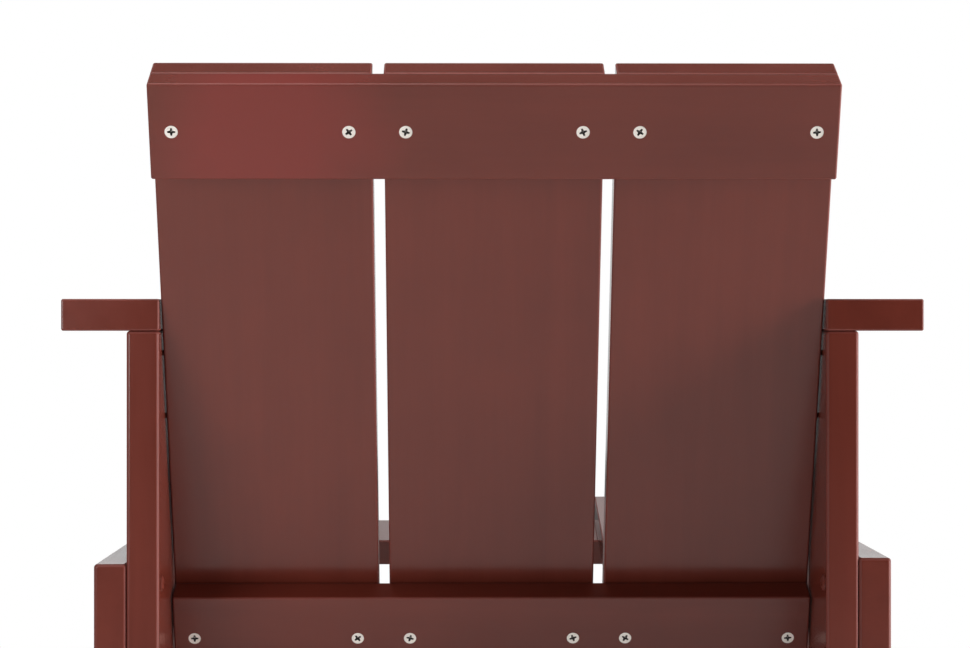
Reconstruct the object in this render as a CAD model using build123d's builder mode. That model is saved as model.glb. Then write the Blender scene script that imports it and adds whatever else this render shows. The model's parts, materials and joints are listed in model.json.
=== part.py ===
"""Slatted lounge chair made of flat boards and screws.

Two side frames, each an armrest, two upright legs and a side board, carry a
seat panel and a back panel. Each panel is three wide planks screwed to two
narrow battens. Units are millimetres. The chair stands on Z = 0 and faces -Y,
+Z is up, and left and right are those of the person who sits in it, so left
is +X. The origin is under the middle of the chair's box.
"""

from build123d import *
from math import cos, radians, sin
import os

# ---- boards -------------------------------------------------------------
board_t = 22.5          # thickness of planks, battens and armrests
upright_t = 23.0        # thickness of legs and side boards
wide_w = 151.0          # wide board: back and seat planks, side boards
narrow_w = 69.0         # narrow board: armrests, battens
leg_w = 100.0           # leg, front to rear
edge_r = 1.5            # rounding of the edges of planks, battens and armrests
upright_edge_r = 2.5    # rounding of the edges of legs and side boards
back_length = 466.6     # length of the back planks
seat_length = 464.0     # length of the seat planks

# ---- side frames --------------------------------------------------------
arm_top_z = 505.0       # height of the armrest's upper face
side_length = 600.0     # armrest and side board, front end to rear end
side_board_drops = {"left": 187.0, "right": 183.0}  # armrest's top to the board's upper edge
leg_screws_drop = 201.8 # armrest's upper face to the upper screw of leg and side board
side_clearance = 1.0    # back panel to leg, on each side

# ---- back panel ---------------------------------------------------------
back_lean = 24.3        # from the vertical
back_gap = 8.0          # between two back planks
back_overhang = 86.8    # top rear edge of the back, behind the rear legs
back_rise = 143.8       # top rear edge of the back, above the armrests

# ---- seat panel ---------------------------------------------------------
seat_slope = 11.5       # rises towards the front
seat_gap = 25.5         # between two seat planks
seat_setback = 6.0      # seat planks' front end, behind the side boards' ends
seat_drop = 198.8       # underside of the planks' front end, below the armrests
seat_batten_mid = 278.0 # planks' front end to the middle line of the rear seat batten
batten_clearance = 0.5  # seat batten to side board, at each end

# ---- screws -------------------------------------------------------------
panel_screw_length = 40.0
screw_inset = 15.3      # screw to the edges of the boards it joins
shank_r = 2.0
tip_length = 6.0
csk_head_r = 4.5        # countersunk head
csk_sink = 0.2          # how far the countersunk head lies under the surface
round_head_r = 5.5      # round head
round_head_h = 2.2
round_rim_h = 0.6       # straight rim under the dome of the round head
recess_span = 5.4       # cross recess, end to end
recess_tip_w = 1.1      # arm of the recess, at its end
recess_mid_w = 2.2      # arm of the recess, at the middle
recess_depth = 1.7
recess_taper = 12.0
recess_step = 37.0      # each screw of a group is turned this much more than the last
fit_gap = 0.03          # between a screw and its hole

# ---- derived ------------------------------------------------------------
back_w = 3 * wide_w + 2 * back_gap
seat_w = 3 * wide_w + 2 * seat_gap
leg_inner_x = back_w / 2 + side_clearance
side_inner_x = leg_inner_x + upright_t
side_outer_x = side_inner_x + upright_t
frame_outer_x = side_outer_x + upright_t
arm_mid_x = leg_inner_x + narrow_w / 2
leg_height = arm_top_z - board_t
back_pitch = wide_w + back_gap
seat_pitch = wide_w + seat_gap
batten_row = back_length - narrow_w       # between the two battens of the back

# A rounded edge on the leaning top batten is the rearmost point of the chair.
lean = radians(back_lean)
rear_reach = back_overhang - edge_r * (sin(lean) + cos(lean) - 1)
rear_y = (side_length - rear_reach) / 2   # rear ends of the side frames
front_y = rear_y - side_length

# ---- reference planes ---------------------------------------------------
# Back: X across, Y up along the planks, Z forward; the origin is the top rear
# edge of the upper batten, so the battens fill Z 0 to t and the planks t to 2t.
back_plane = Plane(
    origin=(0, rear_y + back_overhang, arm_top_z + back_rise),
    x_dir=(1, 0, 0),
    z_dir=(0, -cos(lean), sin(lean)),
)
# Seat: X across, Y rearwards along the planks, Z up out of the seat; the origin
# is the lower front edge of the planks, and the battens hang below it.
slope = radians(seat_slope)
seat_plane = Plane(
    origin=(0, front_y + seat_setback, arm_top_z - seat_drop),
    x_dir=(1, 0, 0),
    z_dir=(0, sin(slope), cos(slope)),
)
sides = {"left": 1, "right": -1}
plank_places = {"left": 1, "middle": 0, "right": -1}


def on_plane(plane, x, y, z, facing):
    """Plane at a point of another plane; its Z is the local direction facing."""
    origin = plane.from_local_coords(Vector(x, y, z))
    tip = plane.from_local_coords(Vector(x, y, z) + Vector(*facing))
    return Plane(origin=origin, z_dir=tip - origin)


def finish(piece, label):
    """Label a sub-part and write it."""
    piece.part.label = label
    export_step(piece.part, f"parts/{label}.step")


def drill(heads, length):
    """Plain holes for the shanks of screws whose heads lie on these planes."""
    with Locations(*[head.location for head in heads]):
        Hole(radius=shank_r + fit_gap, depth=length)


def countersink(heads, length):
    """Countersunk holes for screws whose heads lie on these planes."""
    with Locations(*[head.location for head in heads]):
        CounterSinkHole(
            radius=shank_r + fit_gap,
            counter_sink_radius=csk_head_r + csk_sink + fit_gap,
            depth=length,
            counter_sink_angle=90,
        )


def cross_recess(top):
    """Cut the cross recess into a screw head whose top is at this height."""
    reach = recess_span / 2
    with BuildSketch(Plane.XY.offset(top)) as recess:
        for turn in (0, 90, 180, 270):
            with BuildLine(Plane.XY.offset(top).rotated((0, 0, turn))):
                Polyline(
                    (0, -recess_mid_w / 2),
                    (reach, -recess_tip_w / 2),
                    (reach, recess_tip_w / 2),
                    (0, recess_mid_w / 2),
                    close=True,
                )
            make_face()
    extrude(recess.sketch, amount=-recess_depth, taper=recess_taper, mode=Mode.SUBTRACT)


def countersunk_screw(length):
    """Countersunk wood screw; the board's surface is Z 0 and it points down."""
    with BuildPart() as screw:
        with BuildSketch(Plane.XZ):
            with BuildLine():
                Polyline(
                    (0, -csk_sink),
                    (csk_head_r, -csk_sink),
                    (shank_r, -csk_sink - csk_head_r + shank_r),
                    (shank_r, -length + tip_length),
                    (0, -length + csk_sink),
                    close=True,
                )
            make_face()
        revolve(axis=Axis.Z)
        cross_recess(-csk_sink)
    return screw.part


def round_screw(length):
    """Round-head wood screw; its head stands on Z 0 and it points down."""
    with BuildPart() as screw:
        with BuildSketch(Plane.XZ):
            with BuildLine():
                TangentArc((0, round_head_h), (round_head_r, round_rim_h), tangent=(1, 0))
                Polyline(
                    (round_head_r, round_rim_h),
                    (round_head_r, 0),
                    (shank_r, 0),
                    (shank_r, -length + tip_length),
                    (0, -length + fit_gap),
                    (0, round_head_h),
                )
            make_face()
        revolve(axis=Axis.Z)
        cross_recess(round_head_h)
    return screw.part


def screw_group(label, screw, heads):
    """Copies of one screw, one on each plane, as one node."""
    with BuildPart() as group:
        for number, head in enumerate(heads):
            with Locations(head.location * Rotation(0, 0, number * recess_step)):
                add(screw)
    finish(group, label)


# ---- where the screws go ------------------------------------------------
screw_reach = wide_w / 2 - screw_inset


def panel_heads(plane, pitch, batten_ys, face_z, facing):
    """Two screws at each crossing of a plank and a batten."""
    return [
        [
            on_plane(plane, place * pitch + side * screw_reach, y, face_z, (0, 0, facing))
            for place in plank_places.values()
            for side in sides.values()
        ]
        for y in batten_ys
    ]


back_batten_ys = [-narrow_w / 2, -narrow_w / 2 - batten_row]
seat_batten_ys = [narrow_w / 2, seat_batten_mid]
back_heads = panel_heads(back_plane, back_pitch, back_batten_ys, 0, -1)
seat_heads = panel_heads(seat_plane, seat_pitch, seat_batten_ys, -board_t, -1)

# Side board to leg: two screws on a diagonal of the crossing.
side_z_high = arm_top_z - leg_screws_drop
side_z_low = side_z_high - wide_w + 2 * screw_inset
leg_y_outer = leg_w / 2 - screw_inset     # from the leg's middle line
leg_mid_y = {"rear": rear_y - leg_w / 2, "front": front_y + leg_w / 2}
leg_face_x = {"rear": leg_inner_x, "front": side_inner_x}
side_screw_length = 40.0


def leg_heads(end, side):
    """Screws from the chair's inside through a leg and a side board."""
    return [
        Plane(origin=(side * leg_face_x[end], leg_mid_y[end] + y, z), z_dir=(-side, 0, 0))
        for y, z in ((leg_y_outer, side_z_high), (-leg_y_outer, side_z_low))
    ]


# Armrest to legs: two screws down into the end grain of each leg.
arm_screw_length = 50.0
leg_mid_x = {"rear": leg_inner_x + upright_t / 2, "front": side_outer_x + upright_t / 2}


def arm_heads(side):
    """Screws from above, in line with the middle of each leg."""
    return [
        Plane(origin=(side * leg_mid_x[end], leg_mid_y[end] + y, arm_top_z), z_dir=(0, 0, 1))
        for end in ("rear", "front")
        for y in (-leg_y_outer, leg_y_outer)
    ]


# Leg to back panel: two screws through the rear leg into the plank's edge.
back_side_screw_length = 50.0
back_side_ys = [-215.0, -265.0]           # down along the back


def back_side_heads(side):
    """Screws from the leg's outer face into the edge of the outer back plank."""
    return [
        on_plane(back_plane, side * side_inner_x, y, 1.5 * board_t, (side, 0, 0))
        for y in back_side_ys
    ]


# Side frame to seat battens: two screws into the end of each batten. The front
# ones go through the front leg too.
seat_side_screw_length = {"front": 75.0, "rear": 50.0}
seat_side_x = {"front": frame_outer_x, "rear": side_outer_x}
seat_side_spread = 19.0                   # screw to the batten's middle line


def seat_side_heads(end, side):
    """Screws from the chair's outside into the end of one batten."""
    y = seat_batten_ys[0 if end == "front" else 1]
    return [
        on_plane(seat_plane, side * seat_side_x[end], y + spread, -board_t / 2, (side, 0, 0))
        for spread in (-seat_side_spread, seat_side_spread)
    ]


os.makedirs("parts", exist_ok=True)

# ---- back panel ---------------------------------------------------------
all_back_heads = back_heads[0] + back_heads[1]
for place_name, place in plank_places.items():
    with BuildPart() as back_plank:
        with BuildSketch(back_plane.offset(board_t)):
            with Locations((place * back_pitch, -back_length / 2)):
                Rectangle(wide_w, back_length)
        extrude(amount=board_t)
        fillet(back_plank.edges(), edge_r)
        drill(all_back_heads, panel_screw_length)
        if place:
            drill(back_side_heads(place), back_side_screw_length)
    finish(back_plank, f"back_plank_{place_name}")

for level, y, heads in zip(("upper", "lower"), back_batten_ys, back_heads):
    with BuildPart() as back_batten:
        with BuildSketch(back_plane):
            with Locations((0, y)):
                Rectangle(back_w, narrow_w)
        extrude(amount=board_t)
        fillet(back_batten.edges(), edge_r)
        countersink(heads, panel_screw_length)
    finish(back_batten, f"back_batten_{level}")

# ---- seat panel ---------------------------------------------------------
all_seat_heads = seat_heads[0] + seat_heads[1]
for place_name, place in plank_places.items():
    with BuildPart() as seat_plank:
        with BuildSketch(seat_plane):
            with Locations((place * seat_pitch, seat_length / 2)):
                Rectangle(wide_w, seat_length)
        extrude(amount=board_t)
        fillet(seat_plank.edges(), edge_r)
        drill(all_seat_heads, panel_screw_length)
    finish(seat_plank, f"seat_plank_{place_name}")

seat_batten_length = 2 * (side_inner_x - batten_clearance)
for end, y, heads in zip(("front", "rear"), seat_batten_ys, seat_heads):
    with BuildPart() as seat_batten:
        with BuildSketch(seat_plane):
            with Locations((0, y)):
                Rectangle(seat_batten_length, narrow_w)
        extrude(amount=-board_t)
        fillet(seat_batten.edges(), edge_r)
        countersink(heads, panel_screw_length)
        for side in sides.values():
            drill(seat_side_heads(end, side), seat_side_screw_length[end])
    finish(seat_batten, f"seat_batten_{end}")

# ---- side frames --------------------------------------------------------
for side_name, side in sides.items():
    with BuildPart() as armrest:
        with BuildSketch(Plane.XY.offset(arm_top_z)):
            with Locations((side * arm_mid_x, rear_y - side_length / 2)):
                Rectangle(narrow_w, side_length)
        extrude(amount=-board_t)
        fillet(armrest.edges(), edge_r)
        countersink(arm_heads(side), arm_screw_length)
    finish(armrest, f"armrest_{side_name}")

    with BuildPart() as rear_leg:
        with BuildSketch():
            with Locations((side * leg_mid_x["rear"], leg_mid_y["rear"])):
                Rectangle(upright_t, leg_w)
        extrude(amount=leg_height)
        fillet(rear_leg.edges(), upright_edge_r)
        drill(leg_heads("rear", side), side_screw_length)
        drill(arm_heads(side), arm_screw_length)
        drill(back_side_heads(side), back_side_screw_length)
    finish(rear_leg, f"rear_leg_{side_name}")

    with BuildPart() as front_leg:
        with BuildSketch():
            with Locations((side * leg_mid_x["front"], leg_mid_y["front"])):
                Rectangle(upright_t, leg_w)
        extrude(amount=leg_height)
        fillet(front_leg.edges(), upright_edge_r)
        drill(leg_heads("front", side), side_screw_length)
        drill(arm_heads(side), arm_screw_length)
        drill(seat_side_heads("front", side), seat_side_screw_length["front"])
    finish(front_leg, f"front_leg_{side_name}")

    side_mid_z = arm_top_z - side_board_drops[side_name] - wide_w / 2
    with BuildPart() as side_board:
        with BuildSketch(Plane.YZ.offset(side * side_inner_x)):
            with Locations((rear_y - side_length / 2, side_mid_z)):
                Rectangle(side_length, wide_w)
        extrude(amount=side * upright_t)
        fillet(side_board.edges(), upright_edge_r)
        for end in ("front", "rear"):
            drill(leg_heads(end, side), side_screw_length)
            drill(seat_side_heads(end, side), seat_side_screw_length[end])
    finish(side_board, f"side_board_{side_name}")

# ---- screws -------------------------------------------------------------
panel_screw = countersunk_screw(panel_screw_length)
screw_group("back_upper_screws", panel_screw, back_heads[0])
screw_group("back_lower_screws", panel_screw, back_heads[1])
screw_group("seat_front_screws", panel_screw, seat_heads[0])
screw_group("seat_rear_screws", panel_screw, seat_heads[1])

arm_screw = countersunk_screw(arm_screw_length)
side_screw = round_screw(side_screw_length)
edge_screw = round_screw(back_side_screw_length)
batten_screws = {end: round_screw(length) for end, length in seat_side_screw_length.items()}
for side_name, side in sides.items():
    screw_group(f"armrest_screws_{side_name}", arm_screw, arm_heads(side))
    screw_group(f"back_side_screws_{side_name}", edge_screw, back_side_heads(side))
    for end, screw in batten_screws.items():
        screw_group(f"{end}_leg_screws_{side_name}", side_screw, leg_heads(end, side))
        screw_group(f"seat_{end}_side_screws_{side_name}", screw, seat_side_heads(end, side))
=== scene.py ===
"""Looks of the slatted lounge chair: lacquered boards, screws, stage, light and camera.

All lengths are in metres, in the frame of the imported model. The chair stands on
Z = 0 and faces -Y. The camera looks at its back, level, from +Y.
"""
import json
import math

import bpy
from mathutils import Euler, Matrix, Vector


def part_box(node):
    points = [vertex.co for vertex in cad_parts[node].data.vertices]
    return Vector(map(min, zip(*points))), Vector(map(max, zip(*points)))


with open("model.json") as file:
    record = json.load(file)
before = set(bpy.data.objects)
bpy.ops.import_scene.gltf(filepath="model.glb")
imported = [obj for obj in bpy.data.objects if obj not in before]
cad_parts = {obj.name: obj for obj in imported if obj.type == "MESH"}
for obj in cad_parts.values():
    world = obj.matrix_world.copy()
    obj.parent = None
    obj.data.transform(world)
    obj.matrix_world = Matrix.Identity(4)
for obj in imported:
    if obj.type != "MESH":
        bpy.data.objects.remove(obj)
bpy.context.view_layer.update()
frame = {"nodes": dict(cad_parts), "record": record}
nodes = frame["nodes"]
scene = bpy.context.scene

# ---- places taken from the frame ----------------------------------------
arm_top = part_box("armrest_left")[1].z
rear_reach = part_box("back_batten_upper")[1].y  # rearmost point of the chair

# ---- camera -------------------------------------------------------------
camera_behind = 1.822                     # behind the rearmost point
camera_aside = 0.0246                     # towards the chair's left
camera_below_arm = 0.0177                 # eye level under the armrests' tops
camera_yaw = math.radians(0.567)          # turned towards the chair's right
camera_lens = 100.4                       # millimetres, on a 36 mm sensor
camera_sensor = 36.0


def make_camera():
    """Level camera behind the chair."""
    data = bpy.data.cameras.new("camera")
    data.lens = camera_lens
    data.sensor_width = camera_sensor
    data.clip_end = 100.0
    camera = bpy.data.objects.new("camera", data)
    scene.collection.objects.link(camera)
    camera.location = (camera_aside, rear_reach + camera_behind, arm_top - camera_below_arm)
    camera.rotation_euler = Euler((math.pi / 2, 0.0, math.pi - camera_yaw), "XYZ")
    scene.camera = camera


make_camera()


# ---- node helpers -------------------------------------------------------
class Shader:
    """Small helper that adds nodes to a material or world and links them."""

    def __init__(self, tree):
        self.tree = tree
        tree.nodes.clear()

    def node(self, kind, settings=None, **inputs):
        """Add a node; inputs are values or sockets, by name with _ for a space."""
        made = self.tree.nodes.new(kind)
        for key, value in (settings or {}).items():
            setattr(made, key, value)
        for key, value in inputs.items():
            socket = self.find(made, key)
            if isinstance(value, bpy.types.NodeSocket):
                self.tree.links.new(value, socket)
            else:
                socket.default_value = value
        return made

    @staticmethod
    def find(made, key):
        """Input socket by name, or by number for keys such as in_0."""
        if key.startswith("in_"):
            return made.inputs[int(key[3:])]
        return made.inputs[key.replace("_", " ")]

    def math(self, operation, a, b=0.0):
        return self.node("ShaderNodeMath", {"operation": operation}, in_0=a, in_1=b).outputs[0]

    def mix(self, factor, a, b, blend="MIX"):
        made = self.node("ShaderNodeMix", {"data_type": "RGBA", "blend_type": blend},
                         in_0=factor, in_6=a, in_7=b)
        return made.outputs[2]

    def ramp(self, value, low, high, to_low=0.0, to_high=1.0):
        """Map low..high to to_low..to_high and hold the ends; low may be over high."""
        made = self.node("ShaderNodeMapRange", {"clamp": True}, Value=value, From_Min=low,
                         From_Max=high, To_Min=to_low, To_Max=to_high)
        return made.outputs[0]


def new_material(name):
    """Empty material and the helper that fills it."""
    material = bpy.data.materials.new(name)
    material.use_nodes = True
    return material, Shader(material.node_tree)


# ---- lacquered board ----------------------------------------------------
white = (1.0, 1.0, 1.0, 1.0)
lacquer_light = (0.157, 0.0280, 0.0168, 1.0)
lacquer_dark = (0.131, 0.0232, 0.0140, 1.0)
# colour of a painted pool of light
painted_pool_red = (0.200, 0.0265, 0.0190, 1.0)
# edge colour: thin lacquer and a painted highlight
lacquer_edge_wear_and_highlight = (0.200, 0.0310, 0.0200, 1.0)
painted_joint_shadow = (0.30, 0.22, 0.20, 1.0)     # painted shadow deep in a joint
edge_roughness = 0.6
lacquer_roughness = (0.22, 0.27)
lacquer_ior = 1.5
grain_stretch = (0.06, 1.0, 1.0)          # the grain runs along X
grain_scale = 260.0
band_scale = 38.0
cloud_scale = 9.0
peel_scale = 420.0                        # orange peel
grain_shades = (0.975, 1.015)
grain_shift = (1.7, 0.9, 0.37)            # between the grain of one board and the next
groove_reach = 0.004                      # how near another board has to be
light_pool_waver = 0.02                        # unevenness of the borders of the painted pool of light


def board_material(name, along, seed, light_pool=None):
    """Satin brown-red lacquer over boards; along is the rotation that lays the grain on X.

    seed is the board's number. The last argument is four places along the chair's X for a
    painted pool of light: the lacquer turns redder from the first to the second and back
    from the third to the fourth.
    """
    material, s = new_material(name)
    spot = s.node("ShaderNodeTexCoord")
    place = spot.outputs["Object"]
    shift = [seed * step for step in grain_shift]
    turned = s.node("ShaderNodeMapping", {"vector_type": "POINT"}, Vector=place,
                    Location=shift, Rotation=along).outputs[0]
    stretched = s.node("ShaderNodeMapping", Vector=turned, Scale=grain_stretch).outputs[0]
    grain = s.node("ShaderNodeTexNoise", Vector=stretched, Scale=grain_scale, Detail=4.0,
                   Roughness=0.6).outputs["Fac"]
    bands = s.node("ShaderNodeTexNoise", Vector=stretched, Scale=band_scale, Detail=2.0,
                   Roughness=0.5, Distortion=0.6).outputs["Fac"]
    clouds = s.node("ShaderNodeTexNoise", Vector=turned, Scale=cloud_scale, Detail=3.0,
                    Roughness=0.55).outputs["Fac"]
    peel = s.node("ShaderNodeTexNoise", Vector=turned, Scale=peel_scale, Detail=2.0,
                  Roughness=0.5).outputs["Fac"]
    tone = s.math("ADD", s.math("MULTIPLY", bands, 0.45), s.math("MULTIPLY", clouds, 0.55))
    tone = s.ramp(tone, 0.36, 0.64)
    colour = s.mix(tone, lacquer_dark, lacquer_light)
    streak = s.ramp(grain, 0.36, 0.66, *grain_shades)
    streak = s.node("ShaderNodeCombineColor", Red=streak, Green=streak, Blue=streak).outputs[0]
    colour = s.mix(1.0, colour, streak, "MULTIPLY")
    # Painted light: a pool of light painted in as redder lacquer between places along X.
    if light_pool:
        across = s.node("ShaderNodeSeparateXYZ", Vector=place).outputs["X"]
        waver = s.ramp(clouds, 0.3, 0.7, -light_pool_waver, light_pool_waver)
        across = s.math("ADD", across, waver)
        red = s.math("MULTIPLY", s.ramp(across, light_pool[0], light_pool[1]),
                     s.ramp(across, light_pool[3], light_pool[2]))
        colour = s.mix(red, colour, painted_pool_red)
    # Lighter along the rounded edges, partly where the lacquer is thin and partly a painted
    # highlight, and duller there. A flat face of the board faces along one axis once it is
    # turned as the grain is.
    facing = s.node("ShaderNodeMapping", {"vector_type": "POINT"},
                    Vector=spot.outputs["Normal"], Rotation=along).outputs[0]
    parts = s.node("ShaderNodeSeparateXYZ", Vector=facing)
    sizes = [s.math("ABSOLUTE", parts.outputs[axis]) for axis in "XYZ"]
    turn = s.math("MAXIMUM", s.math("MAXIMUM", sizes[0], sizes[1]), sizes[2])
    edge = s.ramp(turn, 0.998, 0.95)
    wear_and_highlight = s.ramp(clouds, 0.35, 0.75, 0.25, 0.75)
    colour = s.mix(s.math("MULTIPLY", edge, wear_and_highlight), colour, lacquer_edge_wear_and_highlight)
    # Painted shadow: darker in the groove where two boards meet.
    open_sky = s.node("ShaderNodeAmbientOcclusion", {"samples": 6},
                      Distance=groove_reach).outputs["AO"]
    groove = s.ramp(open_sky, 0.55, 0.20)
    colour = s.mix(1.0, colour, s.mix(groove, white, painted_joint_shadow), "MULTIPLY")
    height = s.math("ADD", s.math("MULTIPLY", grain, 0.6), s.math("MULTIPLY", peel, 0.4))
    bump = s.node("ShaderNodeBump", Strength=0.06, Distance=0.0004, Height=height).outputs[0]
    rough = s.math("ADD", s.math("MULTIPLY", clouds, 0.6), s.math("MULTIPLY", grain, 0.4))
    rough = s.ramp(rough, 0.35, 0.65, *lacquer_roughness)
    rough = s.math("MAXIMUM", rough, s.math("MULTIPLY", edge, edge_roughness))
    shader = s.node("ShaderNodeBsdfPrincipled", Base_Color=colour, Roughness=rough, Normal=bump,
                    IOR=lacquer_ior)
    s.node("ShaderNodeOutputMaterial", Surface=shader.outputs[0])
    return material


# Rotations that bring the length of a board to X and its faces square to the axes.
quarter = math.pi / 2
lay_depth = (0.0, 0.0, quarter)
lay_up = (0.0, quarter, 0.0)
back_lean = math.radians(24.3)
seat_slope = math.radians(11.5)
lay_back = (back_lean, quarter, 0.0)
lay_seat = (seat_slope, 0.0, quarter)
lay_back_across = (back_lean, 0.0, 0.0)
lay_seat_across = (seat_slope, 0.0, 0.0)

board_lays = {
    "back_plank": lay_back, "back_batten": lay_back_across, "seat_plank": lay_seat,
    "seat_batten": lay_seat_across, "armrest": lay_depth, "side_board": lay_depth,
    "rear_leg": lay_up, "front_leg": lay_up,
}
# Painted light on the upper batten's left half, where a pool of light falls.
light_pools = {"back_batten_upper": (0.06, 0.13, 0.20, 0.24)}

# ---- screws -------------------------------------------------------------
zinc_warm = (0.90, 0.84, 0.77, 1.0)
zinc_pale = (1.0, 0.95, 0.89, 1.0)
recess_dark = (0.020, 0.012, 0.010, 1.0)
recess_reach = 0.0022                     # about the depth of the driver recess


def bright_metal():
    """Zinc-bright screw head, with a dark driver recess."""
    material, s = new_material("bright_screw")
    place = s.node("ShaderNodeTexCoord").outputs["Object"]
    grime = s.node("ShaderNodeTexNoise", Vector=place, Scale=900.0, Detail=3.0).outputs["Fac"]
    rough = s.ramp(grime, 0.3, 0.7, 0.30, 0.46)
    metal = s.mix(grime, zinc_warm, zinc_pale)
    # Darker, duller and less metallic deep in the driver recess.
    open_sky = s.node("ShaderNodeAmbientOcclusion", {"samples": 8, "only_local": True},
                      Distance=recess_reach).outputs["AO"]
    deep_in_recess = s.ramp(open_sky, 0.90, 0.70)
    colour = s.mix(deep_in_recess, metal, recess_dark)
    rough = s.math("MAXIMUM", rough, s.math("MULTIPLY", deep_in_recess, 0.8))
    bump = s.node("ShaderNodeBump", Strength=0.1, Distance=0.0002, Height=grime).outputs[0]
    shader = s.node("ShaderNodeBsdfPrincipled", Base_Color=colour,
                    Metallic=s.ramp(deep_in_recess, 0.2, 0.8, 0.45, 0.0), Roughness=rough, Normal=bump)
    s.node("ShaderNodeOutputMaterial", Surface=shader.outputs[0])
    return material


def painted_metal():
    """Screw head under the same lacquer as the boards."""
    material, s = new_material("painted_screw")
    place = s.node("ShaderNodeTexCoord").outputs["Object"]
    clouds = s.node("ShaderNodeTexNoise", Vector=place, Scale=300.0, Detail=3.0).outputs["Fac"]
    colour = s.mix(clouds, lacquer_dark, lacquer_light)
    rough = s.ramp(clouds, 0.3, 0.7, 0.26, 0.36)
    bump = s.node("ShaderNodeBump", Strength=0.1, Distance=0.0003, Height=clouds).outputs[0]
    shader = s.node("ShaderNodeBsdfPrincipled", Base_Color=colour, Roughness=rough, Normal=bump)
    s.node("ShaderNodeOutputMaterial", Surface=shader.outputs[0])
    return material


def dress(node, material):
    """Give a CAD node one material."""
    mesh = node.data
    mesh.materials.clear()
    mesh.materials.append(material)


bright = bright_metal()
painted = painted_metal()
slot_of = {part["node"]: part["material_slot"] for part in frame["record"]["subparts"]}
for number, (name, node) in enumerate(sorted(nodes.items())):
    if slot_of[name] == "bright_screw":
        dress(node, bright)
    elif slot_of[name] == "painted_screw":
        dress(node, painted)
    else:
        kind = next(kind for kind in board_lays if name.startswith(kind))
        dress(node, board_material(name, board_lays[kind], number + 1, light_pools.get(name)))


# ---- stage --------------------------------------------------------------
# The backdrop fills the directions whose Y is under -backdrop_sides and whose
# height is under backdrop_top, as parts of a unit vector.
backdrop_sides = 0.62
backdrop_top = 0.62
backdrop_side_fade = 0.15
backdrop_top_fade = 0.12
backdrop_strength = 1.1
air_strength = 0.02
floor_radius = 8.0
floor_fade = (0.8, 1.9)                   # distance from the origin
floor_colour = (0.86, 0.86, 0.85, 1.0)


def make_floor():
    """Pale floor that fades to white away from the chair."""
    bpy.ops.mesh.primitive_circle_add(vertices=96, radius=floor_radius, fill_type="NGON")
    floor = bpy.context.object
    floor.name = "floor"
    material, s = new_material("floor")
    place = s.node("ShaderNodeTexCoord").outputs["Object"]
    distance = s.node("ShaderNodeVectorMath", {"operation": "LENGTH"}, in_0=place).outputs["Value"]
    fade = s.ramp(distance, *floor_fade)
    pale = s.node("ShaderNodeBsdfDiffuse", Color=floor_colour).outputs[0]
    glow = s.node("ShaderNodeEmission", Color=white).outputs[0]
    seen = s.node("ShaderNodeLightPath").outputs["Is Camera Ray"]
    both = s.node("ShaderNodeMixShader", in_0=s.math("MULTIPLY", fade, seen), in_1=pale,
                  in_2=glow).outputs[0]
    s.node("ShaderNodeOutputMaterial", Surface=both)
    floor.data.materials.append(material)


def make_world():
    """White to the camera. The chair gets a white backdrop in front of it, and dim air."""
    world = bpy.data.worlds.new("world")
    world.use_nodes = True
    scene.world = world
    s = Shader(world.node_tree)
    seen = s.node("ShaderNodeLightPath").outputs["Is Camera Ray"]
    way = s.node("ShaderNodeTexCoord").outputs["Generated"]
    axes = s.node("ShaderNodeSeparateXYZ", Vector=way)
    ahead = s.math("MULTIPLY", axes.outputs["Y"], -1.0)
    ahead = s.ramp(ahead, backdrop_sides, backdrop_sides + backdrop_side_fade)
    low = s.ramp(axes.outputs["Z"], backdrop_top, backdrop_top - backdrop_top_fade)
    backdrop = s.math("MULTIPLY", ahead, low)
    strength = s.ramp(backdrop, 0.0, 1.0, air_strength, backdrop_strength)
    plain = s.node("ShaderNodeBackground", Color=white).outputs[0]
    soft = s.node("ShaderNodeBackground", Color=white, Strength=strength).outputs[0]
    both = s.node("ShaderNodeMixShader", in_0=seen, in_1=soft, in_2=plain).outputs[0]
    s.node("ShaderNodeOutputWorld", Surface=both)


# Name, azimuth and elevation in degrees, distance and size in metres, power in watts.
lights = (
    ("key", 78, 2, 3.0, 1.0, 110),
    ("key_high", 72, 15, 3.0, 1.0, 12),
    ("top", -20, 76, 1.6, 0.7, 20),
    ("left_near", -40, 8, 1.1, 0.4, 3.4),
)
light_target = Vector((0.0, 0.1, 0.4))


def make_light(name, azimuth, elevation, distance, size, power):
    """Square soft light. Azimuth 0 is behind the camera, and turns towards its right."""
    data = bpy.data.lights.new(name, "AREA")
    data.shape = "SQUARE"
    data.size = size
    data.energy = power
    light = bpy.data.objects.new(name, data)
    scene.collection.objects.link(light)
    around, up = math.radians(azimuth), math.radians(elevation)
    away = Vector((-math.sin(around) * math.cos(up), math.cos(around) * math.cos(up),
                   math.sin(up)))
    light.location = light_target + away * distance
    light.rotation_euler = away.to_track_quat("Z", "Y").to_euler()


make_floor()
make_world()
for light in lights:
    make_light(*light)

scene.view_settings.view_transform = "Standard"
scene.view_settings.look = "None"
